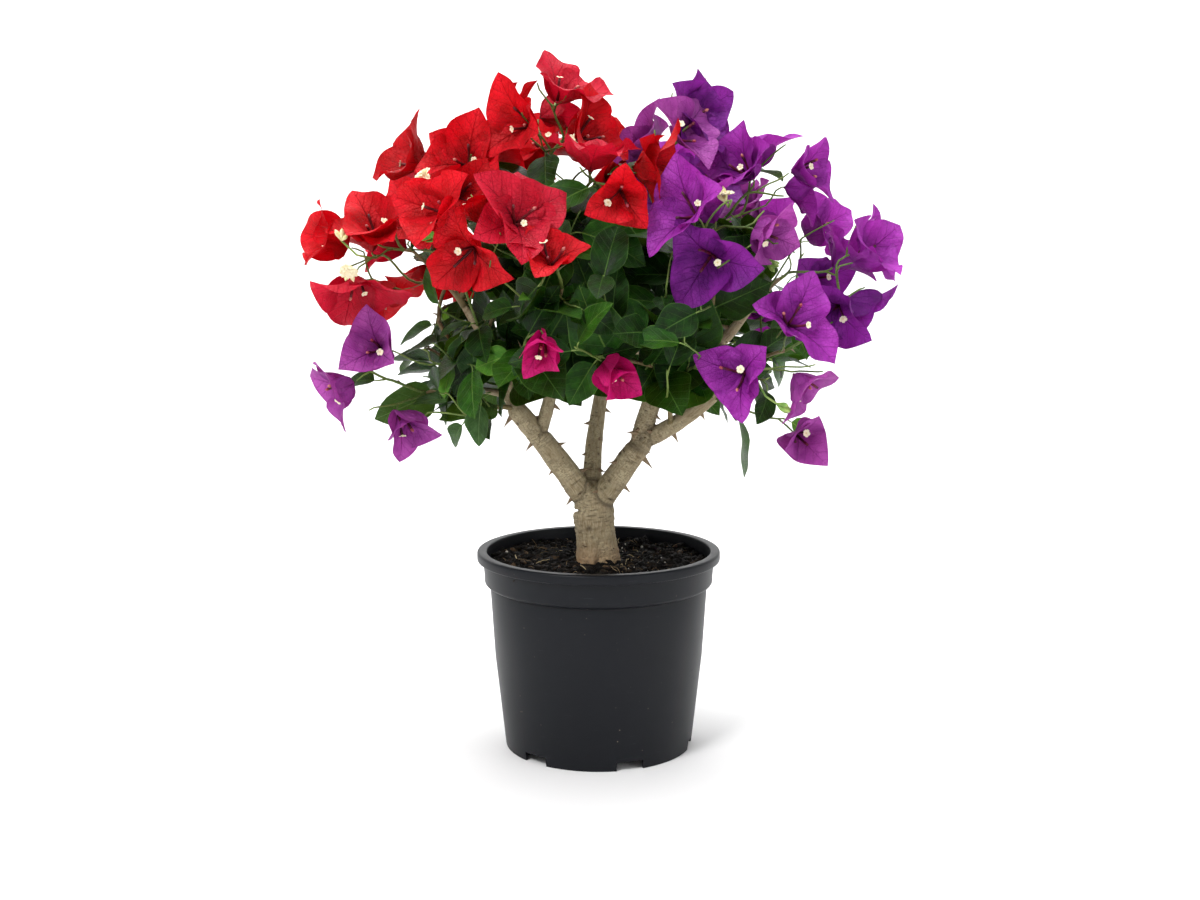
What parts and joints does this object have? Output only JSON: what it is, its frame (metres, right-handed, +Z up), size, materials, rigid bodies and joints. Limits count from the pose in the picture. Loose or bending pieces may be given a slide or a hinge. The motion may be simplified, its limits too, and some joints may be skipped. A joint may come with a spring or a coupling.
{
  "type": "potted bougainvillea bush",
  "caption": "Bougainvillea bush on a short thorny trunk in a round plastic nursery pot, with masses of papery red and purple blossom over glossy leaves.",
  "frame": {"origin": "middle of the flat underside of the pot, where it stands on the table", "axes": "+Z up along the pot's axis and the longest side of the whole; -Y towards the front view, +X to the right of it"},
  "size_m": [0.4414, 0.3298, 0.5266],
  "materials": {
    "pot": "satin injection-moulded plastic, dark blue-black, lightly scuffed",
    "soil": "moist dark potting compost with bark fibres and perlite",
    "bark": "grey-tan young bark with cross cracks and lenticels",
    "twig": "green and brown young shoots",
    "leaf": "glossy dark green leaves with a pale midrib",
    "young_leaf": "light green young leaves",
    "red_bract": "thin papery red bracts",
    "magenta_bract": "thin papery crimson bracts",
    "purple_bract": "thin papery purple bracts",
    "flower": "small cream star flowers",
    "flower_tube": "dark maroon flower tubes",
    "perlite": "white expanded grit in the compost"
  },
  "bodies": {
    "root": {"pot": "pot", "soil": "soil", "trunk": "bark", "bough_left": "bark", "bough_left_shoot": "bark", "bough_middle": "bark", "bough_right": "bark", "bough_right_upper": "bark", "bough_right_side": "bark", "bough_right_fork": "bark", "bough_right_tip": "bark", "red_top": "red_bract", "red_front": "red_bract", "red_upper_left": "red_bract", "red_front_left": "red_bract", "red_left": "red_bract", "red_back_left": "red_bract", "red_back_top": "red_bract", "purple_top": "purple_bract", "purple_front": "purple_bract", "purple_upper_right": "purple_bract", "purple_right": "purple_bract", "purple_front_right": "purple_bract", "purple_back": "purple_bract", "purple_back_right": "purple_bract", "purple_spray_left": "purple_bract", "purple_spray_right": "purple_bract", "leaves_heart": "leaf", "leaves_left": "leaf", "leaves_front": "leaf", "leaves_front_right": "leaf", "leaves_back_left": "leaf", "leaves_back_right": "leaf", "leaves_back": "leaf"}
  },
  "joints": []
}
